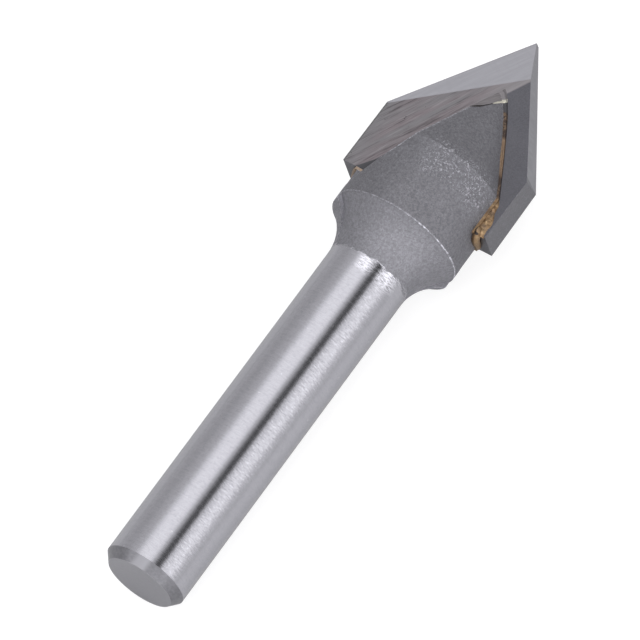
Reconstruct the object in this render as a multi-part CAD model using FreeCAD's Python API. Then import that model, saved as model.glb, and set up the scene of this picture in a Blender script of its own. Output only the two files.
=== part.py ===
import FreeCAD, Part
import math
import os
from FreeCAD import Vector

# V groove router bit: a turned steel shank and head, one brazed carbide plate with two ground wings.
# Millimetres and degrees. Each piece is first drawn on the tool's own axis, with the shank end at
# z = 0 and the tip up. The wings lie along x. Then the bit is laid on its side to rest on the floor.

# Overall
overall_length = 50.3

# Shank
shank_diameter = 6.35
shank_length = 28.0
end_chamfer_width = 0.55
end_chamfer_length = 0.7

# Head, turned in one piece with the shank
head_diameter = 10.1
head_shoulder_above_seat = 3.0
nose_half_angle = 26.8
front_rim_below_seat = 2.8
rear_rim_below_seat = 3.3
rim_step_angle = 30.0

# Carbide plate
cutting_diameter = 12.7
v_angle = 65.0
plate_thickness = 2.5
wing_side_length = 5.65
tip_web = 0.5
side_clearance_angle = 9.5
v_clearance_angle = 13.5

# Ground rake faces of each wing
rake_depth_at_shoulder = 0.35
rake_depth_at_foot = 0.09
rake_peak_below_tip = 3.0
rake_peak_past_axis = 1.57

# Gullet in front of each wing, cut by one plane: its lean to the axis, its turn round the axis,
# and its distance from the axis at the height of the plate's seat
gullet_lean = 21.7
gullet_turn = 17.7
gullet_offset = 4.24

# Braze film between slot and plate, and how far its bead stands out of the open seams
braze_film = 0.15
braze_seat_film = 0.2
braze_bead_height = 0.2

# How far the bit has rolled from level wings, as it lies
rest_roll = -3.0

# Worked out from the sizes above
shank_radius = shank_diameter / 2
end_face_radius = shank_radius - end_chamfer_width
head_radius = head_diameter / 2
plate_half = plate_thickness / 2
slot_half = plate_half + braze_film
cutting_radius = cutting_diameter / 2
edge_y_at_shoulder = plate_half - rake_depth_at_shoulder
edge_y_at_foot = plate_half - rake_depth_at_foot
wing_reach = math.sqrt(cutting_radius ** 2 - edge_y_at_shoulder ** 2)
foot_reach = math.sqrt(cutting_radius ** 2 - edge_y_at_foot ** 2)
v_half_angle = math.radians(v_angle / 2)
plate_height = wing_side_length + wing_reach / math.tan(v_half_angle)
seat_z = overall_length - plate_height
shoulder_z = seat_z + wing_side_length
slot_floor_z = seat_z - braze_seat_film
front_rim_z = seat_z - front_rim_below_seat
rear_rim_z = seat_z - rear_rim_below_seat
head_shoulder_z = seat_z + head_shoulder_above_seat

AXIS = Vector(0, 0, 1)
ORIGIN = Vector(0, 0, 0)
# Cutting tools reach this far, well past every piece
FAR = 2 * overall_length


def straight_edges(points):
    """Edges through (radius, height) points, one after the other."""
    places = [Vector(radius, 0, height) for radius, height in points]
    return [Part.makeLine(a, b) for a, b in zip(places, places[1:])]


def revolve_outline(edges, start_angle=0.0, sweep_angle=360.0):
    """A solid turned from closed edges in the x-z plane, from start_angle round the axis."""
    face = Part.Face(Part.Wire(Part.__sortEdges__(edges)))
    face.rotate(ORIGIN, AXIS, start_angle)
    return face.revolve(ORIGIN, AXIS, sweep_angle)


def flare_arc(rim_z):
    """The hollow between shank and head: an arc that leaves the shank tangentially."""
    rise = rim_z - shank_length
    widening = head_radius - shank_radius
    arc_radius = (rise ** 2 + widening ** 2) / (2 * widening)
    half_turn = math.asin(rise / arc_radius) / 2
    middle = Vector(
        shank_radius + arc_radius * (1 - math.cos(half_turn)),
        0,
        shank_length + arc_radius * math.sin(half_turn),
    )
    start = Vector(shank_radius, 0, shank_length)
    end = Vector(head_radius, 0, rim_z)
    return Part.Arc(start, middle, end).toShape()


def nose_top(radius):
    """Height where a cone nose on a head of this radius comes to its point."""
    return head_shoulder_z + radius / math.tan(math.radians(nose_half_angle))


def turned_blank():
    """Shank, flare and pointed head, before the slot and the gullets."""
    shank = straight_edges(
        [
            (0, 0),
            (end_face_radius, 0),
            (shank_radius, end_chamfer_length),
            (shank_radius, shank_length),
        ]
    )
    head = straight_edges(
        [(head_radius, rear_rim_z), (head_radius, head_shoulder_z), (0, nose_top(head_radius)), (0, 0)]
    )
    return revolve_outline(shank + [flare_arc(rear_rim_z)] + head)


def front_rim_relief():
    """The front half's flare is cut higher than the rear half's, which leaves a step on each side."""
    outside = head_radius + plate_thickness
    edges = straight_edges(
        [
            (head_radius, front_rim_z),
            (outside, front_rim_z),
            (outside, shank_length),
            (shank_radius, shank_length),
        ]
    )
    return revolve_outline(edges + [flare_arc(front_rim_z)], 180.0 + rim_step_angle, 180.0)


def box_beyond(point, normal):
    """A large box that fills the space beyond the plane through point, on the side of normal."""
    box = Part.makeBox(FAR, FAR, FAR, Vector(-FAR / 2, -FAR / 2, 0))
    box.Placement = FreeCAD.Placement(point, FreeCAD.Rotation(AXIS, normal))
    return box


def box_before_three(a, b, c):
    """The same for the plane through three points, on the side of a wing's leading face, -y."""
    normal = (b - a).cross(c - a)
    if normal.y > 0:
        normal = normal * -1
    return box_beyond(a, normal)


def both_wings(cutter):
    """A cutter for the wing at -x with its twin, half a turn on, for the wing at +x."""
    twin = cutter.copy()
    twin.rotate(ORIGIN, AXIS, 180)
    return [cutter, twin]


def gullet_cutter():
    """Chip space in front of the wing at -x: beyond the leaning plane, down to the plate's face."""
    lean = math.radians(gullet_lean)
    turn = math.radians(gullet_turn)
    outward = Vector(-math.cos(turn), -math.sin(turn), 0)
    start = outward * gullet_offset + AXIS * seat_z
    leaning = box_beyond(start, outward * math.cos(lean) + AXIS * math.sin(lean))
    in_front = box_beyond(Vector(0, -plate_half, 0), Vector(0, -1, 0))
    return leaning.common(in_front)


def slot_cutter():
    """The slot across the head, open at the top and at both sides."""
    return Part.makeBox(FAR, 2 * slot_half, FAR, Vector(-FAR / 2, -slot_half, slot_floor_z))


def build_steel_body():
    """Shank, flare and slotted head: one turned and milled piece."""
    return turned_blank().cut([front_rim_relief(), slot_cutter()] + both_wings(gullet_cutter()))


def plate_blank():
    """The plate before grinding, which the slot was cut for."""
    width = 2 * cutting_diameter
    height = plate_height + plate_thickness
    return Part.makeBox(width, plate_thickness, height, Vector(-width / 2, -plate_half, seat_z))


def build_carbide_plate():
    """The plate with two cutting wings: clearance flanks, V edges and ground rake faces."""
    shoulder = Vector(-wing_reach, -edge_y_at_shoulder, shoulder_z)
    foot = Vector(-foot_reach, -edge_y_at_foot, seat_z)
    apex = Vector(0, 0, overall_length)

    # The side edge keeps the cutting radius from foot to shoulder
    side_edge = (shoulder - foot).normalize()
    side_clearance = math.radians(side_clearance_angle)
    flank_normal = Vector(-math.cos(side_clearance), math.sin(side_clearance), 0)
    flank_normal = flank_normal - side_edge * flank_normal.dot(side_edge)
    side_flank = box_beyond(shoulder, flank_normal)

    # Both V flanks hold the apex. They fall away behind their edges and meet in a short chisel.
    v_edge = (apex - shoulder).normalize()
    v_clearance = math.radians(v_clearance_angle)
    square_to_edge = Vector(-math.cos(v_half_angle), 0, math.sin(v_half_angle))
    flank_normal = square_to_edge * math.cos(v_clearance) + Vector(0, math.sin(v_clearance), 0)
    flank_normal = flank_normal - v_edge * flank_normal.dot(v_edge)
    v_flank = box_beyond(shoulder, flank_normal)
    chisel = Vector(flank_normal.y / flank_normal.x, -1, 0).normalize()

    tip = apex + chisel * (tip_web / 2)
    rake_peak = Vector(rake_peak_past_axis, -plate_half, overall_length - rake_peak_below_tip)
    long_rake = box_before_three(shoulder, foot, rake_peak)
    tip_rake = box_before_three(shoulder, tip, rake_peak)

    cutters = []
    for cutter in (side_flank, v_flank, long_rake, tip_rake):
        cutters += both_wings(cutter)
    return plate_blank().cut(cutters)


def build_braze_joint():
    """Filler metal round the plate in its slot, with a low bead where the seams are open."""
    radius = head_radius + braze_bead_height
    outline = straight_edges(
        [
            (0, slot_floor_z),
            (radius, slot_floor_z),
            (radius, head_shoulder_z),
            (0, nose_top(radius)),
            (0, slot_floor_z),
        ]
    )
    filled_slot = revolve_outline(outline).common(slot_cutter())
    return filled_slot.cut([plate_blank()] + both_wings(gullet_cutter()))


def lie_down(shape):
    """Lays the bit on its side, resting on the rear rim and on the shank's end."""
    slope = math.atan((head_radius - shank_radius) / (rear_rim_z - end_chamfer_length))
    axis_height = (shank_radius - end_chamfer_length * math.tan(slope)) * math.cos(slope)
    end_face_overhang = end_face_radius * math.sin(slope)
    reach = overall_length * math.cos(slope)
    start = Vector((end_face_overhang - reach) / 2, 0, axis_height)
    along = Vector(math.cos(slope), 0, math.sin(slope))
    up = Vector(-math.sin(slope), 0, math.cos(slope))
    turn = FreeCAD.Rotation(along.cross(up), up * -1, along, "ZXY")
    laid = shape.copy()
    laid.rotate(ORIGIN, AXIS, rest_roll)
    laid.Placement = FreeCAD.Placement(start, turn).multiply(laid.Placement)
    return laid


def main():
    os.makedirs("parts", exist_ok=True)
    pieces = {
        "steel_body": build_steel_body(),
        "carbide_plate": build_carbide_plate(),
        "braze_joint": build_braze_joint(),
    }
    for name, shape in pieces.items():
        lie_down(shape).exportStep("parts/" + name + ".step")


main()
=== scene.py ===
"""V groove router bit in its studio picture.

A ground shank, a blasted steel head and a brazed carbide plate. The bit lies on its side on a
pale floor. Its sizes are in millimetres on its own axes, and on_bit turns places into metres.
"""

import math
from functools import cached_property

import bmesh
import bpy
from mathutils import Matrix, Vector, noise


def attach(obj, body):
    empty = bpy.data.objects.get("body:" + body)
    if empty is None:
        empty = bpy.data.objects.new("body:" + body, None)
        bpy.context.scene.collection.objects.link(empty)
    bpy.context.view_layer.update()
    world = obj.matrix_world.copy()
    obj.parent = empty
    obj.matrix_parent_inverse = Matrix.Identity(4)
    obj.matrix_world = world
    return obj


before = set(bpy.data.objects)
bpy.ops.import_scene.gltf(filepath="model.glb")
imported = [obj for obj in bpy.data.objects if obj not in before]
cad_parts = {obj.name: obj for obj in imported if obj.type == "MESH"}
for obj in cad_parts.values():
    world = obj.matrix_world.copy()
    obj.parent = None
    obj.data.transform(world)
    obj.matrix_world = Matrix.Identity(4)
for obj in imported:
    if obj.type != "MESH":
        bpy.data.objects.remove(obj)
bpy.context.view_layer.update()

MM = 0.001

# The bit's sizes, in millimetres along its own axis from the shank's end
OVERALL_LENGTH = 50.3
SHANK_RADIUS = 3.175
SHANK_LENGTH = 28.0
END_FACE_RADIUS = 2.625
END_CHAMFER_LENGTH = 0.7
HEAD_RADIUS = 5.05
CUTTING_RADIUS = 6.35
PLATE_HALF = 1.25
SLOT_HALF = 1.4
EDGE_Y_AT_SHOULDER = 0.9
EDGE_Y_AT_FOOT = 1.16
WING_REACH = math.sqrt(CUTTING_RADIUS ** 2 - EDGE_Y_AT_SHOULDER ** 2)
FOOT_REACH = math.sqrt(CUTTING_RADIUS ** 2 - EDGE_Y_AT_FOOT ** 2)
WING_SIDE_LENGTH = 5.65
V_HALF_ANGLE = math.radians(32.5)
V_CLEARANCE = math.radians(13.5)
TIP_WEB = 0.5
WING_SHOULDER = OVERALL_LENGTH - WING_REACH / math.tan(V_HALF_ANGLE)
SEAT = WING_SHOULDER - WING_SIDE_LENGTH
HEAD_SHOULDER = SEAT + 3.0
FRONT_RIM = SEAT - 2.8
REAR_RIM = SEAT - 3.3
NOSE_HALF_ANGLE = math.radians(26.8)
RAKE_PEAK = Vector((1.57, -PLATE_HALF, OVERALL_LENGTH - 3.0))
GULLET_LEAN = math.radians(21.7)
GULLET_TURN = math.radians(17.7)
GULLET_OFFSET = 4.24
GULLET_NORMAL = Vector((-math.cos(GULLET_TURN), -math.sin(GULLET_TURN), math.tan(GULLET_LEAN)))
GULLET_NORMAL.normalize()

# Coarse grinding marks run down this side of the shank, given across the wings and to the rear
COARSE_SIDE = Vector((0.628, -0.778, 0.0))

# The neck's short marks come in below the blasting, which then covers them
NECK_START = 26.9
NECK_FULL = 27.7
BLAST_START = 28.35
BLAST_FULL = 28.55

# Grinding streaks on the plate climb this much from the V edge
STREAK_LIFT = 0.075

# Two lines as the picture shows them, by their slant and their height over the seat at no slant:
# the nose is ground flush with the rake face above one, and the foot is black below the other
NOSE_LINE_SLANT = 0.1714
NOSE_LINE_HEIGHT = 6.49
FOOT_LINE_SLANT = 0.333
FOOT_LINE_HEIGHT = 4.44

# How the bit lies: its axis climbs from the shank's end to the head, and it has rolled a little
SLOPE = math.atan((HEAD_RADIUS - SHANK_RADIUS) / (REAR_RIM - END_CHAMFER_LENGTH))
REST_ROLL = math.radians(-3.0)
ALONG = Vector((math.cos(SLOPE), 0, math.sin(SLOPE)))
LEVEL_WING = Vector((0, -1, 0))
LEVEL_REAR = Vector((math.sin(SLOPE), 0, -math.cos(SLOPE)))
WING = LEVEL_WING * math.cos(REST_ROLL) + LEVEL_REAR * math.sin(REST_ROLL)
REAR = LEVEL_REAR * math.cos(REST_ROLL) - LEVEL_WING * math.sin(REST_ROLL)
SHANK_END = Vector(
    (
        (END_FACE_RADIUS * math.sin(SLOPE) - OVERALL_LENGTH * math.cos(SLOPE)) / 2,
        0,
        (SHANK_RADIUS - END_CHAMFER_LENGTH * math.tan(SLOPE)) * math.cos(SLOPE),
    )
)

# How the camera sees the bit: turned round its axis, then leaned towards the shank's end, then
# rolled in the picture. It is this far from the seat, which shows at this pixel of the picture.
VIEW_TURN = math.radians(-19.94)
VIEW_LEAN = math.radians(21.431)
VIEW_ROLL = math.radians(36.527)
VIEW_DISTANCE = 600.0
PICTURE_SIZE = 640
SEAT_PIXEL = (417.38, 207.64)
PIXELS_PER_MM_AT_SEAT = 14.119

# Square to the bit's axis: to the picture's right, and to the side that faces the camera
SIDEWAYS = WING * math.cos(VIEW_TURN) - REAR * math.sin(VIEW_TURN)
FACING = -WING * math.sin(VIEW_TURN) - REAR * math.cos(VIEW_TURN)

# Colours of the filler and of the ground carbide
# Near black: the line across the nose, and painted shade along the seam and under the wing's foot
BLACK_FLUX_AND_SHADE = (0.035, 0.03, 0.03, 1)
GOLD_DARK = (0.18, 0.11, 0.06, 1)
GOLD_LIGHT = (0.39, 0.27, 0.155, 1)
RAKE_DARK = (0.092, 0.083, 0.088, 1)
RAKE_LIGHT = (0.31, 0.29, 0.305, 1)


def on_bit(wing, rear, along):
    """A point of the bit, from millimetres across the wings, towards its rear and along its axis."""
    return (SHANK_END + WING * wing + REAR * rear + ALONG * along) * MM


def view_axes():
    """The picture's right, its up, and the way to the camera, as seen at the bit's seat."""
    lifted = ALONG * math.cos(VIEW_LEAN) + FACING * math.sin(VIEW_LEAN)
    back = FACING * math.cos(VIEW_LEAN) - ALONG * math.sin(VIEW_LEAN)
    right = SIDEWAYS * math.cos(VIEW_ROLL) + lifted * math.sin(VIEW_ROLL)
    up = lifted * math.cos(VIEW_ROLL) - SIDEWAYS * math.sin(VIEW_ROLL)
    return right, up, back


def wing_corners():
    """The left wing's shoulder, its foot, and its end of the short chisel edge at the tip."""
    shoulder = Vector((-WING_REACH, -EDGE_Y_AT_SHOULDER, WING_SHOULDER))
    foot = Vector((-FOOT_REACH, -EDGE_Y_AT_FOOT, SEAT))
    apex = Vector((0.0, 0.0, OVERALL_LENGTH))
    v_edge = (apex - shoulder).normalized()
    flank = Vector((-math.cos(V_HALF_ANGLE), 0.0, math.sin(V_HALF_ANGLE))) * math.cos(V_CLEARANCE)
    flank.y += math.sin(V_CLEARANCE)
    flank -= v_edge * flank.dot(v_edge)
    chisel = Vector((flank.y / flank.x, -1.0, 0.0)).normalized()
    return shoulder, foot, apex + chisel * (TIP_WEB / 2)


class Wire:
    """A node's output, so that shader maths reads as plain arithmetic."""

    def __init__(self, paint, socket):
        self.paint = paint
        self.socket = socket

    def math(self, operation, *others):
        values = dict(enumerate((self,) + others))
        return self.paint.node("ShaderNodeMath", {"operation": operation}, values)

    def vector(self, operation, *others, out=0):
        values = dict(enumerate((self,) + others))
        return self.paint.node("ShaderNodeVectorMath", {"operation": operation}, values, out)

    def __add__(self, other):
        return self.math("ADD", other)

    __radd__ = __add__

    def __sub__(self, other):
        return self.math("SUBTRACT", other)

    def __rsub__(self, other):
        return self.paint.number("SUBTRACT", other, self)

    def __mul__(self, other):
        return self.math("MULTIPLY", other)

    __rmul__ = __mul__

    def __truediv__(self, other):
        return self.math("DIVIDE", other)

    def __rtruediv__(self, other):
        return self.paint.number("DIVIDE", other, self)

    def __abs__(self):
        return self.math("ABSOLUTE")

    def __pow__(self, other):
        return self.math("POWER", other)

    def dot(self, direction):
        return self.vector("DOT_PRODUCT", direction, out="Value")

    def ramp(self, low, high, start=0.0, end=1.0):
        """A soft step from start to end while this value goes from low to high."""
        settings = {"interpolation_type": "SMOOTHSTEP"}
        values = {"Value": self, "From Min": low, "From Max": high, "To Min": start, "To Max": end}
        return self.paint.node("ShaderNodeMapRange", settings, values)

    def within(self, low, high, soft):
        """1 from low to high and 0 outside them, over soft edges."""
        return self.ramp(low - soft, low) * self.ramp(high, high + soft, 1.0, 0.0)


class Paint:
    """The node tree of one material or of the world."""

    def __init__(self, owner):
        owner.use_nodes = True
        self.owner = owner
        self.tree = owner.node_tree
        self.tree.nodes.clear()

    def node(self, kind, settings=None, values=None, out=0):
        made = self.tree.nodes.new(kind)
        for name, setting in (settings or {}).items():
            setattr(made, name, setting)
        for name, value in (values or {}).items():
            if isinstance(value, Wire):
                self.tree.links.new(value.socket, made.inputs[name])
            else:
                made.inputs[name].default_value = value
        return Wire(self, made.outputs[out]) if len(made.outputs) else None

    def number(self, operation, first, second):
        return self.node("ShaderNodeMath", {"operation": operation}, {0: first, 1: second})

    def triple(self, x, y, z):
        return self.node("ShaderNodeCombineXYZ", None, {"X": x, "Y": y, "Z": z})

    def mix(self, share, first, second):
        """A colour that goes from first to second as share goes from 0 to 1."""
        settings = {"data_type": "RGBA", "clamp_factor": True}
        return self.node("ShaderNodeMix", settings, {0: share, 6: first, 7: second}, 2)

    def grain(self, place, scale, detail=2.0, roughness=0.5, distortion=0.0):
        """Noise from 0 to 1 that is much the same in every direction of place."""
        values = {
            "Vector": place,
            "Scale": scale,
            "Detail": detail,
            "Roughness": roughness,
            "Distortion": distortion,
        }
        return self.node("ShaderNodeTexNoise", {"noise_dimensions": "3D"}, values, "Fac")

    def bump(self, height):
        """A normal that follows a height in millimetres."""
        values = {"Height": height * MM, "Distance": 1.0, "Strength": 1.0}
        return self.node("ShaderNodeBump", None, values, "Normal")

    def surface(self, constants, varying):
        """Ends the tree in one Principled shader, with its even values and its varying ones."""
        values = dict(constants)
        values.update(varying)
        shader = self.node("ShaderNodeBsdfPrincipled", None, values, "BSDF")
        self.node("ShaderNodeOutputMaterial", None, {"Surface": shader})
        return self.owner


class BitPaint(Paint):
    """A material of the bit, with the place on it in millimetres.

    wing runs across the wings, rear towards the hidden side, and along from the shank's end.
    """

    def __init__(self, name):
        super().__init__(bpy.data.materials.new(name))
        here = self.node("ShaderNodeTexCoord", None, None, "Object")
        self.from_end = here.vector("SUBTRACT", SHANK_END * MM)
        self.wing = self.from_end.dot(WING / MM)
        self.rear = self.from_end.dot(REAR / MM)
        self.along = self.from_end.dot(ALONG / MM)
        self.place = self.triple(self.wing, self.rear, self.along)

    @cached_property
    def radius(self):
        """Millimetres from the axis."""
        return (self.wing * self.wing + self.rear * self.rear).math("SQRT")

    @cached_property
    def side(self):
        """Millimetres to the picture's right of the axis."""
        return self.from_end.dot(SIDEWAYS / MM)

    @cached_property
    def turned_place(self):
        """The place half a turn round the axis."""
        return self.triple(self.wing * -1.0, self.rear * -1.0, self.along)

    def stretched(self, across, along):
        """The place scaled by one amount across the axis and by another along it."""
        return self.triple(self.wing * across, self.rear * across, self.along * along)

    def front_half(self):
        """The place over the seat. The rear half is turned half a turn onto the front half."""
        front = self.rear.math("SIGN") * -1.0
        return self.triple(self.wing * front, self.rear * front, self.along - SEAT)

    def above_line(self, slant):
        """Millimetres above the seat, square to a line that rises by slant as the picture shows it."""
        right, up = view_axes()[:2]
        square = up - right * slant
        return self.front_half().dot(Vector((square.dot(WING), square.dot(REAR), square.dot(ALONG))))

    def edge(self, reach):
        """1 along the sharp edges of a piece, as far as reach millimetres from them."""
        rounded = self.node("ShaderNodeBevel", {"samples": 8}, {"Radius": reach * MM})
        flat = self.node("ShaderNodeNewGeometry", None, None, "True Normal")
        return rounded.dot(flat).ramp(0.86, 0.985, 1.0, 0.0)

    def on_facet(self, point, normal):
        """1 on the front facet through point square to normal, and on its twin half a turn on."""
        reach = 0.03
        square = normal.normalized()
        front = abs(self.place.vector("SUBTRACT", point).dot(square))
        twin = abs(self.turned_place.vector("SUBTRACT", point).dot(square))
        return front.math("MINIMUM", twin).ramp(reach / 2, reach, 1.0, 0.0)

    def along_facet(self, direction):
        """Millimetres along a direction of the front facets, or of their twins on the rear half."""
        front = self.place.dot(direction)
        twin = self.turned_place.dot(direction)
        return twin + (front - twin) * self.rear.ramp(0.1, -0.1)


def grey(value, blue=1.08, red=1.01):
    """An even grey, a little blue and red of neutral as bare steel and carbide are."""
    return (value * red, value, value * blue, 1.0)


def ground_shank(bit, mottle, blasted):
    """The shank's colour, roughness and height, with grinding marks that run round it.

    One side of it carries coarser marks, and the neck has short marks where it isn't blasted, kept to
    the band where the highlights fall, so that their bright ones are painted highlights.
    """
    fine_marks = bit.grain(bit.stretched(0.9, 11.0), 1.0, 3.0, 0.6)
    short_marks = bit.grain(bit.stretched(2.6, 10.0), 1.0, 3.0, 0.7)
    nicks = bit.grain(bit.stretched(2.0, 3.4), 1.0, 2.0, 0.7)
    coarse = bit.place.dot(COARSE_SIDE / SHANK_RADIUS).ramp(0.93, 0.985)
    coarse = coarse * bit.along.ramp(SHANK_LENGTH + 0.3, SHANK_LENGTH, 0.0, 1.0)
    # The neck's marks only show in the band where the highlights fall: their bright ones are painted
    # highlights
    neck = bit.along.ramp(NECK_START, NECK_FULL) * (1.0 - blasted) * bit.side.within(-0.9, 1.9, 0.5)

    color = bit.mix(fine_marks.ramp(0.3, 0.7), grey(0.485), grey(0.515))
    color = bit.mix(mottle.ramp(0.45, 0.75) * 0.35, color, grey(0.40))
    color = bit.mix(nicks.ramp(0.7, 0.76) * 0.4, color, grey(0.75))
    color = bit.mix(coarse * short_marks.ramp(0.5, 0.75) * 0.6, color, grey(0.75))
    color = bit.mix(coarse * short_marks.ramp(0.5, 0.25) * 0.55, color, grey(0.3))
    color = bit.mix(neck * short_marks.ramp(0.42, 0.58) * 0.8, color, grey(0.85))
    color = bit.mix(neck * short_marks.ramp(0.44, 0.3) * 0.7, color, grey(0.22))

    rough = 0.19 + (fine_marks - 0.5) * 0.04
    height = fine_marks * 0.0005 + mottle * 0.0006
    height = height + coarse * short_marks * 0.0055 + neck * short_marks * 0.004
    return color, rough, height


def scuffed_and_highlit_edges(bit, flecks):
    """How far the flare's rim is scuffed to a thin broken line, and the gullet's edge to a finer one,
    the rim line also a painted highlight.
    """
    beside = (bit.radius - HEAD_RADIUS) ** 2.0
    front_rim = (beside + (bit.along - FRONT_RIM) ** 2.0).math("SQRT")
    rear_rim = (beside + (bit.along - REAR_RIM) ** 2.0).math("SQRT")
    broken = bit.grain(bit.place, 3.4, 4.0, 0.8).ramp(0.46, 0.6)
    uneven = front_rim.math("MINIMUM", rear_rim) + (flecks - 0.5) * 0.03
    # The rim line is partly wear and partly a painted highlight, brighter towards the picture's right
    rims = uneven.ramp(0.025, 0.08, 1.0, 0.0) * (0.1 + broken * 0.7) * bit.side.ramp(-2.6, 1.5, 0.3, 1.0)

    to_gullet = bit.front_half().dot(GULLET_NORMAL) - GULLET_OFFSET * math.cos(GULLET_LEAN)
    above_shoulder = (bit.along - HEAD_SHOULDER).math("MAXIMUM", 0.0)
    under_turned = HEAD_RADIUS - above_shoulder * math.tan(NOSE_HALF_ANGLE) - bit.radius
    gullet_edge = to_gullet.ramp(-0.13, -0.07) * under_turned.ramp(0.05, 0.11, 1.0, 0.0)
    gullet_edge = gullet_edge * bit.along.ramp(SEAT + 0.5, SEAT + 1.2)
    return rims.math("MAXIMUM", gullet_edge * (0.06 + broken * 0.3))


def flush_nose(bit, flecks):
    """Where the top of the nose is ground flush with the rake face, and its colour there."""
    height = bit.above_line(NOSE_LINE_SLANT)
    flush = (height + (flecks - 0.5) * 0.04).ramp(NOSE_LINE_HEIGHT - 0.01, NOSE_LINE_HEIGHT + 0.03)
    flush = flush * bit.along.ramp(SEAT + 7.0, SEAT + 7.2)
    streaks = bit.grain(bit.triple(height * 5.0, bit.along * 0.5, bit.wing * 0.3), 1.0, 3.0, 0.6)
    return flush, bit.mix(streaks.ramp(0.3, 0.7), (0.22, 0.205, 0.213, 1), (0.33, 0.31, 0.32, 1))


def blasted_head(bit, edge, flecks):
    """The head's colour, roughness and height: fine blasting, worn on one side of its shoulder."""
    grit = bit.grain(bit.place, 6.0, 3.0, 0.65, 0.9)
    clouds = bit.grain(bit.place, 0.55, 3.0)
    sparkle = bit.grain(bit.place, 6.5, 2.0, 0.7, 0.8).ramp(0.53, 0.64)
    patches = bit.grain(bit.place, 0.8, 2.0).ramp(0.42, 0.58)
    shoulder_zone = bit.along.within(HEAD_SHOULDER - 1.8, HEAD_SHOULDER + 0.1, 0.9)
    shoulder_zone = shoulder_zone * (bit.wing * bit.rear * -0.2).ramp(-0.6, 0.8)
    worn = sparkle * (0.12 + shoulder_zone * (0.3 + patches * 0.45))
    rubbed = edge * (0.15 + flecks * 0.85)
    flare = bit.along.ramp(FRONT_RIM + 0.05, FRONT_RIM - 0.15)
    nose = bit.along.ramp(HEAD_SHOULDER - 0.1, HEAD_SHOULDER + 0.1)
    flush, flush_color = flush_nose(bit, flecks)

    # The flare is painted lighter than the rest of the head, partly as painted light from the shank's
    # side
    dark_grit = bit.mix(flare, grey(0.182), grey(0.24))
    light_grit = bit.mix(flare, grey(0.28), grey(0.345))
    color = bit.mix(grit.ramp(0.32, 0.68), dark_grit, light_grit)
    color = bit.mix(clouds.ramp(0.3, 0.7) * 0.3, color, dark_grit)
    color = bit.mix(nose * 0.16, color, grey(0.1))
    color = bit.mix(worn, color, grey(0.5))
    color = bit.mix(rubbed * 0.8, color, grey(0.65))
    color = bit.mix(scuffed_and_highlit_edges(bit, flecks), color, grey(0.95))
    color = bit.mix(flush, color, flush_color)

    rough = 0.72 - worn * 0.2 - rubbed * 0.25 - flush * 0.25
    height = (grit * 0.024 + worn * 0.012) * (1.0 - flush)
    return color, rough, height


def turned_end(bit, color, chamfer, mottle, rubbed):
    """The colour with a turned chamfer and end face, a shade darker than the shank."""
    end_face = bit.along.ramp(0.005, 0.02, 1.0, 0.0)
    turned_rings = bit.grain(bit.triple(bit.radius * 7.0, bit.wing * 0.3, bit.rear * 0.3), 1.0, 2.0)
    chamfer_color = bit.mix(mottle.ramp(0.35, 0.7), grey(0.24), grey(0.29))
    # A band of the chamfer beside the shank's highlight is painted lighter, as a painted highlight
    chamfer_color = bit.mix(bit.side.within(-1.0, -0.5, 0.5), chamfer_color, grey(0.44))
    end_color = bit.mix(mottle.ramp(0.3, 0.8), grey(0.35), grey(0.375))
    end_color = bit.mix(turned_rings.ramp(0.55, 0.75) * 0.4, end_color, grey(0.4))
    color = bit.mix(chamfer, color, chamfer_color)
    color = bit.mix(end_face, color, end_color)
    return bit.mix(chamfer * rubbed, color, grey(0.6))


def steel_finish():
    """Ground shank, ragged neck, and a fine blasted head with edges rubbed bright; the neck's marks, the
    flare's rim and the chamfer carry painted highlights.
    """
    bit = BitPaint("steel")
    mottle = bit.grain(bit.stretched(3.6, 5.0), 1.0, 3.0, 0.6)
    edge = bit.edge(0.05)
    flecks = bit.grain(bit.place, 3.6, 3.0, 0.7).ramp(0.42, 0.6)

    # The blasting ends raggedly just above the shank
    ragged = bit.grain(bit.stretched(0.9, 2.5), 1.0, 4.0, 0.7)
    blasted = (bit.along + (ragged - 0.5) * 1.6).ramp(BLAST_START, BLAST_FULL)
    ground_color, ground_rough, ground_height = ground_shank(bit, mottle, blasted)
    blast_color, blast_rough, blast_height = blasted_head(bit, edge, flecks)

    chamfer = bit.along.ramp(END_CHAMFER_LENGTH, END_CHAMFER_LENGTH + 0.02, 1.0, 0.0)
    color = bit.mix(blasted, ground_color, blast_color)
    color = turned_end(bit, color, chamfer, mottle, edge * (0.3 + flecks * 0.5))
    rough = ground_rough + chamfer * 0.12 + (blast_rough - ground_rough) * blasted
    height = ground_height + (blast_height - ground_height) * blasted
    varying = {"Base Color": color, "Roughness": rough, "Normal": bit.bump(height)}
    return bit.surface({"Metallic": 1.0}, varying)


def grinding_marks(bit, shoulder, tip):
    """Streaks, scratches and broad bands that run nearly with the V edge, and chatter across it."""
    edge_run = (tip - shoulder).normalized()
    lift = Vector((-edge_run.z, 0.0, edge_run.x)).normalized()
    run_place = bit.along_facet((edge_run + lift * STREAK_LIFT).normalized())
    lift_place = bit.along_facet((lift - edge_run * STREAK_LIFT).normalized())
    drawn_out = bit.triple(run_place * 0.3, lift_place * 4.2, bit.rear * 0.5)
    streaks = bit.grain(drawn_out, 1.0, 4.0, 0.66)
    scratches = bit.grain(bit.triple(run_place * 0.55, lift_place * 14.0, 0.0), 1.0, 2.0)
    broad = bit.grain(drawn_out, 0.35, 2.0, 0.5)
    chatter = bit.grain(bit.triple(run_place * 3.0, lift_place * 0.5, 0.0), 1.0, 2.0)
    return streaks, scratches, broad, chatter


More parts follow.
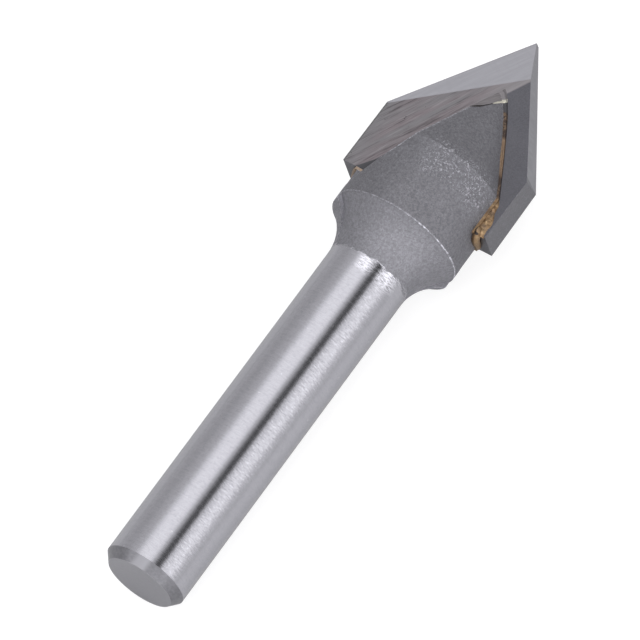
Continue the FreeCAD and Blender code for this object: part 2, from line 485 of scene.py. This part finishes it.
def sintered_color(bit, flat_face, pores, chips, streaks):
    """The plate's flat face, dark partly as painted shade and black at its foot, and the bands that its
    flanks make, the V flank lighter partly as painted light.
    """
    clouds = bit.grain(bit.place, 0.5, 2.0)
    # Black at the foot of the flat face, near the seat
    dark_foot = (bit.wing * bit.rear).ramp(4.2, 4.6) * bit.along.ramp(SEAT + 1.6, SEAT + 1.1, 0.0, 1.0)
    v_flank = bit.along.ramp(WING_SHOULDER - 0.03, WING_SHOULDER + 0.03)
    band_color = bit.mix(pores.ramp(0.3, 0.7), grey(0.18), grey(0.215))
    band_color = bit.mix(chips * 0.3, band_color, grey(0.3))
    # The V flank strip is lighter than the side band, partly as painted light that its slope catches
    flank_color = bit.mix(streaks.ramp(0.3, 0.7), grey(0.275), grey(0.32))
    band_color = bit.mix(v_flank, band_color, flank_color)
    # The flat face is dark partly as sintered carbide and partly as painted shade
    face_color = bit.mix(pores.ramp(0.3, 0.7), grey(0.105, 1.12), grey(0.13, 1.12))
    face_color = bit.mix(clouds.ramp(0.3, 0.7) * 0.3, face_color, grey(0.145, 1.12))
    face_color = bit.mix(dark_foot, face_color, grey(0.08))
    return bit.mix(flat_face, band_color, face_color)


def rake_color(bit, rim, streaks, scratches, broad):
    """The long rake face: brownish, streaked, lighter to the right, and black at its foot."""
    pits = bit.grain(bit.place, 2.6, 1.0).ramp(0.72, 0.77)
    rim_zone = bit.radius.ramp(CUTTING_RADIUS - 1.5, CUTTING_RADIUS - 0.3)
    brown = broad.ramp(0.35, 0.6) * (1.0 - rim_zone)
    foot = bit.above_line(FOOT_LINE_SLANT).ramp(FOOT_LINE_HEIGHT + 0.02, FOOT_LINE_HEIGHT - 0.04)
    foot = foot * bit.radius.ramp(6.0, 5.9)

    color = bit.mix(brown, (0.212, 0.204, 0.214, 1), (0.218, 0.192, 0.204, 1))
    color = bit.mix(streaks.ramp(0.5, 0.3) * 0.85, color, RAKE_DARK)
    color = bit.mix(streaks.ramp(0.55, 0.72) * 0.6, color, RAKE_LIGHT)
    color = bit.mix(scratches.ramp(0.56, 0.72) * 0.5, color, (0.10, 0.092, 0.095, 1))
    color = bit.mix(scratches.ramp(0.44, 0.3) * 0.4, color, (0.32, 0.305, 0.315, 1))
    color = bit.mix(bit.wing.ramp(-1.8, 1.0) * 0.6, color, (0.30, 0.285, 0.295, 1))
    color = bit.mix(pits * 0.7, color, grey(0.06))
    color = bit.mix(rim * 0.6, color, (0.1, 0.105, 0.1, 1))
    return bit.mix(foot, color, grey(0.085))


def carbide_finish():
    """Sintered faces left dark, partly as painted shade, and ground facets with their own streaks, the
    tip facet and V flanks lighter partly as painted light.
    """
    bit = BitPaint("carbide")
    shoulder, foot, tip = wing_corners()
    rake = bit.on_facet(shoulder, (foot - shoulder).cross(RAKE_PEAK - shoulder))
    tip_facet = bit.on_facet(shoulder, (tip - shoulder).cross(RAKE_PEAK - shoulder))
    streaks, scratches, broad, chatter = grinding_marks(bit, shoulder, tip)
    pores = bit.grain(bit.place, 9.0, 3.0, 0.6)
    chips = bit.grain(bit.place, 5.0, 2.0).ramp(0.52, 0.66)
    edge = bit.edge(0.06)
    flat_face = abs(bit.rear).ramp(PLATE_HALF - 0.02, PLATE_HALF - 0.005)

    # The outer edges of the rake faces are darker
    v_line = OVERALL_LENGTH - abs(bit.wing) / math.tan(V_HALF_ANGLE)
    rim = bit.radius.ramp(CUTTING_RADIUS - 0.14, CUTTING_RADIUS - 0.06)
    rim = rim.math("MAXIMUM", (v_line - bit.along).ramp(0.02, 0.14, 1.0, 0.0) * 0.7)

    # The tip facet is lighter than the rake, partly as painted light that its tilt catches
    tip_color = bit.mix(streaks.ramp(0.3, 0.7), grey(0.335), grey(0.365))
    tip_color = bit.mix(chatter.ramp(0.5, 0.7) * 0.25, tip_color, grey(0.31))
    tip_color = bit.mix(rim * 0.4, tip_color, (0.17, 0.16, 0.16, 1))
    color = sintered_color(bit, flat_face, pores, chips, streaks)
    color = bit.mix(rake, color, rake_color(bit, rim, streaks, scratches, broad))
    color = bit.mix(tip_facet, color, tip_color)
    color = bit.mix(edge * (0.05 + chips * 0.4), color, grey(0.4))

    rough = 0.42 + flat_face * 0.12 - rake * 0.04 - tip_facet * 0.05
    height = pores * 0.003 + streaks * 0.006 * rake
    varying = {"Base Color": color, "Roughness": rough, "Normal": bit.bump(height)}
    return bit.surface({"Metallic": 1.0}, varying)


def braze_finish():
    """Golden filler metal, dulled and browned by the heat, with one bright fleck at the nose."""
    bit = BitPaint("braze")
    lumps = bit.grain(bit.place, 3.4, 4.0, 0.7)
    fine = bit.grain(bit.place, 11.0, 3.0, 0.6)
    burnt = bit.grain(bit.place, 1.7, 2.0).ramp(0.5, 0.7)

    # On either wing, millimetres from the axis towards the plate side that shows the seam
    outward = bit.wing * bit.rear * (-1.0 / SLOT_HALF)
    nose_radius = HEAD_RADIUS - (bit.along - HEAD_SHOULDER) * math.tan(NOSE_HALF_ANGLE)
    nose_side = (nose_radius ** 2.0 - SLOT_HALF ** 2).math("SQRT")
    seam = bit.along.ramp(SEAT + 2.7, SEAT + 3.3)
    # The seam is near black below and above its golden middle
    darker_seam_parts = seam * (1.0 - bit.along.within(SEAT + 4.9, SEAT + 7.0, 0.5))
    # The seam's left edge is painted black as shade
    ragged_side = outward - nose_side + (lumps - 0.5) * 0.2
    shadowed = seam * ragged_side.ramp(-0.06, 0.02, 1.0, 0.0)

    # The hollow under the foot is painted black as shade. The left wing's filler is paler than the
    # right's.
    hollow_shade = bit.along.ramp(SEAT - 0.02, SEAT - 0.12) * outward.ramp(5.3, 5.4)
    left_wing = bit.wing.ramp(-3.0, -4.0)

    # Above the open seam the filler is drawn in and grey, but for a black line with a pale fleck
    flush_height = bit.above_line(NOSE_LINE_SLANT) - NOSE_LINE_HEIGHT
    on_line = abs(flush_height).ramp(0.1, 0.14, 1.0, 0.0) * bit.along.ramp(SEAT + 7.2, SEAT + 7.4)
    dry = bit.along.ramp(SEAT + 9.0, SEAT + 9.2)
    fleck = on_line * bit.along.ramp(SEAT + 8.95, SEAT + 9.1) * outward.ramp(1.3, 1.1)

    color = bit.mix(lumps.ramp(0.3, 0.7), GOLD_DARK, GOLD_LIGHT)
    color = bit.mix(burnt * 0.6, color, (0.11, 0.08, 0.065, 1))
    color = bit.mix(fine.ramp(0.62, 0.8) * 0.5, color, (0.66, 0.54, 0.38, 1))
    color = bit.mix(left_wing * 0.6, color, (0.34, 0.28, 0.24, 1))
    color = bit.mix(seam * 0.5, color, (0.17, 0.125, 0.1, 1))
    color = bit.mix(darker_seam_parts * lumps.ramp(0.6, 0.5, 0.45, 0.95), color, (0.05, 0.038, 0.034, 1))
    color = bit.mix(shadowed * 0.9, color, BLACK_FLUX_AND_SHADE)
    color = bit.mix(hollow_shade, color, BLACK_FLUX_AND_SHADE)
    color = bit.mix(dry, color, grey(0.08))
    color = bit.mix(flush_height.ramp(0.0, 0.1), color, (0.22, 0.207, 0.215, 1))
    color = bit.mix(on_line, color, BLACK_FLUX_AND_SHADE)
    color = bit.mix(fleck * lumps.ramp(0.3, 0.55, 0.3, 1.0), color, (0.6, 0.58, 0.5, 1))
    rough = 0.42 + (fine - 0.5) * 0.3 + dry * 0.12
    varying = {"Base Color": color, "Roughness": rough, "Normal": bit.bump(lumps * 0.06 + fine * 0.02)}
    return bit.surface({"Metallic": 0.85}, varying)


def camera():
    """Looks down on the bit from the picture's angle, from far off through a long lens."""
    right, up, back = view_axes()
    place = on_bit(0, 0, SEAT) + back * VIEW_DISTANCE * MM
    focal_pixels = PIXELS_PER_MM_AT_SEAT * VIEW_DISTANCE
    middle = PICTURE_SIZE / 2
    toward = back - right * ((middle - SEAT_PIXEL[0]) / focal_pixels)
    toward = (toward + up * ((middle - SEAT_PIXEL[1]) / focal_pixels)).normalized()
    right = (right - toward * right.dot(toward)).normalized()
    turn = Matrix((right, toward.cross(right), toward)).transposed()
    made = bpy.data.objects.new("camera", bpy.data.cameras.new("camera"))
    made.data.sensor_width = 36.0
    made.data.lens = focal_pixels / PICTURE_SIZE * made.data.sensor_width
    made.data.clip_start = 0.01
    made.data.clip_end = 10.0
    made.matrix_world = Matrix.Translation(place) @ turn.to_4x4()
    bpy.context.scene.collection.objects.link(made)
    bpy.context.scene.camera = made


def studio():
    """Two long softboxes over the bit with a dark gap between them, and pale walls beside them.

    The room is drawn by how far a direction turns round the bit's axis, in degrees to the
    picture's right of what the middle of the shank mirrors, and by how far it leans to the tip.
    """
    world = bpy.data.worlds.new("room")
    bpy.context.scene.world = world
    paint = Paint(world)
    toward = paint.node("ShaderNodeTexCoord", None, None, "Generated")
    turned = toward.dot(SIDEWAYS).math("ARCTAN2", toward.dot(FACING)) * math.degrees(1.0)
    tipward = toward.dot(ALONG)

    # Each side has a wall of one level with a brighter box on it, and the gap has its own low level
    left_box = turned.ramp(-61.0, -36.0) * 0.68
    right_box = turned.ramp(14.0, 42.0) * turned.ramp(50.0, 68.0, 1.0, 0.0) * 0.52
    left_wall = 0.6 - turned.within(-92.0, -86.0, 26.0) * 0.13
    right_wall = 0.76
    gap_level = 0.06
    box_length = tipward.ramp(0.6, 0.95, 1.0, 0.0) * tipward.ramp(-0.7, -0.3)
    left = (left_wall + left_box * box_length) * turned.ramp(-15.0, 8.0, 1.0, 0.0)
    right = (right_wall + right_box * box_length) * turned.ramp(16.0, 23.0)
    level = left + right + gap_level

    # The gap closes towards both ends, where plain walls stand
    end_wall = tipward.ramp(0.7, 0.95, 0.0, 0.5) + tipward.ramp(-0.75, -0.35, 0.8, 0.0)
    level = level.math("MAXIMUM", end_wall)

    # Small fill lights: on the ground tip, into the flare from the shank's side, on the chamfer
    tip_fill = turned.within(-105.0, -60.0, 15.0) * tipward.within(0.6, 0.8, 0.12) * 0.6
    flare_fill = turned.within(-22.0, 60.0, 28.0) * tipward.within(-0.6, -0.2, 0.18) * 2.0
    chamfer_fill = turned.within(-84.0, -70.0, 12.0) * tipward.within(-0.74, -0.62, 0.1) * 0.6
    level = level + tip_fill + flare_fill + chamfer_fill
    camera_ray = paint.node("ShaderNodeLightPath", None, None, "Is Camera Ray")
    color = paint.mix(camera_ray, paint.triple(level, level, level * 1.01), (1, 1, 1, 1))
    background = paint.node("ShaderNodeBackground", None, {"Color": color, "Strength": 1.0})
    paint.node("ShaderNodeOutputWorld", None, {"Surface": background})


def floor():
    """A wide pale table top, white to the camera where no shadow falls."""
    mesh = bpy.data.meshes.new("floor")
    half = 1.5
    corners = [(-half, -half, 0), (half, -half, 0), (half, half, 0), (-half, half, 0)]
    mesh.from_pydata(corners, [], [(0, 1, 2, 3)])
    made = bpy.data.objects.new("floor", mesh)
    bpy.context.scene.collection.objects.link(made)
    paint = Paint(bpy.data.materials.new("table"))
    camera_ray = paint.node("ShaderNodeLightPath", None, None, "Is Camera Ray")
    here = paint.node("ShaderNodeTexCoord", None, None, "Object")

    # What the bit mirrors of it: dim far off and right beside it, lighter a centimetre to its right
    aside = here.dot(LEVEL_WING / MM)
    shade = aside.ramp(-60.0, -20.0, 0.43, 0.53) + aside.ramp(4.0, 12.0, 0.0, 0.09)
    shade = shade - aside.ramp(14.0, 45.0, 0.0, 0.09)

    # The camera sees an even grey that glows just enough to come out white
    color = paint.mix(camera_ray, paint.triple(shade, shade, shade), (0.36, 0.36, 0.36, 1))
    glow = paint.mix(camera_ray, (0, 0, 0, 1), (0.72, 0.72, 0.72, 1))
    constants = {"Roughness": 0.9, "Specular IOR Level": 0.1, "Emission Strength": 1.0}
    mesh.materials.append(paint.surface(constants, {"Base Color": color, "Emission Color": glow}))


def add_braze_piece(name, shape, finish):
    """A smooth piece of filler from a bmesh, which rides with the bit."""
    mesh = bpy.data.meshes.new(name)
    bmesh.ops.recalc_face_normals(shape, faces=shape.faces)
    for face in shape.faces:
        face.smooth = True
    shape.to_mesh(mesh)
    shape.free()
    made = bpy.data.objects.new(name, mesh)
    bpy.context.scene.collection.objects.link(made)
    smoothing = made.modifiers.new("smooth", "SUBSURF")
    smoothing.levels = smoothing.render_levels = 2
    mesh.materials.append(finish)
    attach(made, "root")


def lumps_at(spot, scale, wing_side):
    """Lumps of the filler at a spot, which differ between the two wings."""
    return noise.fractal(spot * scale + wing_side, 0.8, 2.0, 3)


def braze_bead(name, path, finish, side):
    """A lumpy bead along path: points, each with its half width and height, in millimetres.

    Side is 1 for the right wing and -1 for the left one, half a turn round the axis.
    """
    shape = bmesh.new()
    sides = 12
    lump_share = 0.45
    rings = []
    last = len(path) - 1
    for index, (point, width, height) in enumerate(path):
        before = path[max(index - 1, 0)][0]
        after = path[min(index + 1, last)][0]
        direction = (after - before).normalized()
        out = Vector((1, -1, 0))
        out = (out - direction * out.dot(direction)).normalized()
        across = direction.cross(out)
        ring = []
        for step in range(sides):
            angle = 2 * math.pi * step / sides
            offset = across * math.cos(angle) * width + out * math.sin(angle) * height
            spot = point + offset
            spot += offset * lumps_at(spot, 2.6, Vector((side, 0, 0))) * lump_share
            ring.append(shape.verts.new(on_bit(spot.x * side, spot.y * side, spot.z)))
        rings.append(ring)
    for first, second in zip(rings, rings[1:]):
        for step in range(sides):
            after = (step + 1) % sides
            shape.faces.new((first[step], first[after], second[after], second[step]))
    shape.faces.new(rings[0][::-1])
    shape.faces.new(rings[-1])
    add_braze_piece(name, shape, finish)


def head_radius_at(along):
    """The head's radius at a height, on its round or on its cone nose."""
    if along < HEAD_SHOULDER:
        return HEAD_RADIUS
    return max(HEAD_RADIUS - (along - HEAD_SHOULDER) * math.tan(NOSE_HALF_ANGLE), 0.0)


def seam_path():
    """The open seam between the nose and the plate, from under the head's shoulder to the flush top."""
    path = []
    steps = 44
    bottom = 2.4
    top = 9.25
    fullest = 6.0
    rear = -1.31
    for step in range(steps + 1):
        above_seat = bottom + (top - bottom) * step / steps
        along = SEAT + above_seat
        wing = math.sqrt(max(head_radius_at(along) ** 2 - SLOT_HALF ** 2, 0.01))
        swell = 0.5 + 0.5 * noise.noise(Vector((along * 0.9, 2.0, 5.0)))
        ragged = noise.noise(Vector((along * 4.0, 7.0, 1.0)))
        ends = min(1.0, (steps - step) / 5 + 0.25, step / 3 + 0.35)
        fuller = math.exp(-((above_seat - fullest) / 1.1) ** 2)
        width = (0.09 + 0.06 * swell + 0.05 * ragged + 0.08 * fuller) * ends
        path.append((Vector((wing + 0.01 + 0.04 * ragged, rear, along)), width, width * 0.8))
    return path


def from_seat(places):
    """A path along the bit from one over its seat: points, each with its half width and height."""
    return [(Vector(point) + Vector((0, 0, SEAT)), width, height) for point, width, height in places]


def nose_path():
    """The filler's thin end across the top of the nose: a black gap, then one pale fleck."""
    places = [
        ((-0.43, -2.66, 7.62), 0.03, 0.03),
        ((-0.20, -2.61, 7.80), 0.08, 0.05),
        ((0.10, -2.48, 8.10), 0.08, 0.05),
        ((0.24, -2.38, 8.27), 0.03, 0.03),
        ((0.40, -2.19, 8.60), 0.04, 0.03),
        ((0.58, -1.96, 8.95), 0.03, 0.03),
        ((0.68, -1.79, 9.20), 0.06, 0.05),
        ((0.76, -1.63, 9.43), 0.11, 0.08),
        ((0.86, -1.46, 9.62), 0.08, 0.07),
        ((0.96, -1.34, 9.76), 0.13, 0.08),
        ((1.02, -1.28, 9.82), 0.05, 0.04),
    ]
    return from_seat(places)


def foot_path():
    """The fillet of filler in the corner under the wing's foot."""
    places = [
        ((5.12, -1.52, 0.45), 0.14, 0.10),
        ((5.20, -1.38, 0.12), 0.30, 0.24),
        ((5.22, -1.12, -0.16), 0.36, 0.30),
        ((5.20, -0.70, -0.28), 0.34, 0.32),
        ((5.16, 0.00, -0.22), 0.30, 0.30),
        ((5.14, 0.60, -0.10), 0.26, 0.26),
        ((5.08, 1.10, -0.04), 0.18, 0.18),
    ]
    return from_seat(places)


def pool_sheet(shape, side, rows, columns, lift):
    """One side of the pool, as rows of points: the flat one at lift 0, the domed one at lift 1."""
    top = 3.05
    length = 3.2
    sheet = []
    for row in range(rows + 1):
        down = row / rows
        along = top - length * down
        inner = 4.86 + 0.06 * math.sin(down * 9.0)
        outer = 5.08 + 0.68 * min(1.0, down * 1.5) ** 0.8 + 0.05 * math.sin(down * 14.0)
        fade = min(1.0, down * 6.0, (1.0 - down) * 8.0 + 0.2)
        line = []
        for column in range(columns + 1):
            across = column / columns
            wing = inner + (outer - inner) * across
            mound = math.sin(math.pi * across) ** 0.6 * fade
            lump = lumps_at(Vector((wing, 0.0, along)), 3.0, Vector((0, side, 0)))
            rear = -1.22 - lift * mound * (0.16 + 0.12 * lump)
            line.append(shape.verts.new(on_bit(wing * side, rear * side, SEAT + along)))
        sheet.append(line)
    return sheet


def braze_pool(name, finish, side):
    """The filler that ran out over the plate's face beside the head, as one low mound."""
    shape = bmesh.new()
    rows = 26
    columns = 9
    flat, domed = [pool_sheet(shape, side, rows, columns, lift) for lift in (0.0, 1.0)]
    for row in range(rows):
        for column in range(columns):
            for sheet in (flat, domed):
                corners = (sheet[row][column], sheet[row][column + 1])
                shape.faces.new(corners + (sheet[row + 1][column + 1], sheet[row + 1][column]))
    for row in range(rows):
        for column in (0, columns):
            corners = (flat[row][column], flat[row + 1][column])
            shape.faces.new(corners + (domed[row + 1][column], domed[row][column]))
    for column in range(columns):
        for row in (0, rows):
            corners = (flat[row][column], flat[row][column + 1])
            shape.faces.new(corners + (domed[row][column + 1], domed[row][column]))
    add_braze_piece(name, shape, finish)


steel = steel_finish()
carbide = carbide_finish()
braze = braze_finish()
for node_name, finish in (("steel_body", steel), ("carbide_plate", carbide), ("braze_joint", braze)):
    for material_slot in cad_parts[node_name].material_slots:
        material_slot.material = finish

for wing_name, side in (("right", 1), ("left", -1)):
    braze_bead("braze_seam_" + wing_name, seam_path(), braze, side)
    braze_bead("braze_nose_" + wing_name, nose_path(), braze, side)
    braze_bead("braze_foot_" + wing_name, foot_path(), braze, side)
    braze_pool("braze_pool_" + wing_name, braze, side)
camera()
studio()
floor()
bpy.context.scene.view_settings.view_transform = "Standard"
